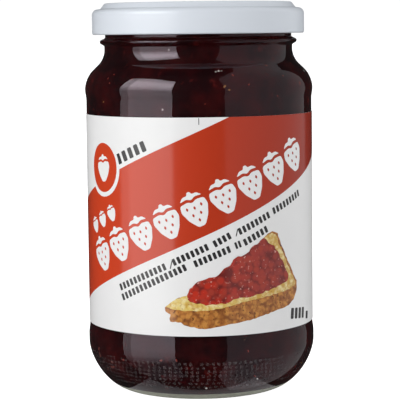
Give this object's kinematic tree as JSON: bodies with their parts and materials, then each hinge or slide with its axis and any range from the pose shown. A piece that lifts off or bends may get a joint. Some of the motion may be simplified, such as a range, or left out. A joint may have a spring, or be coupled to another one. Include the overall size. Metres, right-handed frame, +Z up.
{
  "type": "jam jar",
  "caption": "Round clear glass jar filled with red jam, closed by a pressed white metal lid, with a paper label wrapped around its wall.",
  "frame": {"origin": "centre of the base, on the plane that the jar stands on", "axes": "+Z up along the jar's axis of turning, the middle of the label's print faces -Y, +X to the right as seen from there"},
  "size_m": [0.0722, 0.072, 0.122],
  "materials": {
    "jar_glass": "clear pressed container glass with a faint green tint, glossy",
    "jam": "set fruit jam, deep red and wet, with seeds against the glass",
    "lid": "white lacquered tinplate, satin gloss",
    "label": "coated white label paper, printed, semi-gloss"
  },
  "bodies": {
    "root": {"jar_glass": "jar_glass", "jam": "jam", "lid": "lid", "label": "label"}
  },
  "joints": []
}
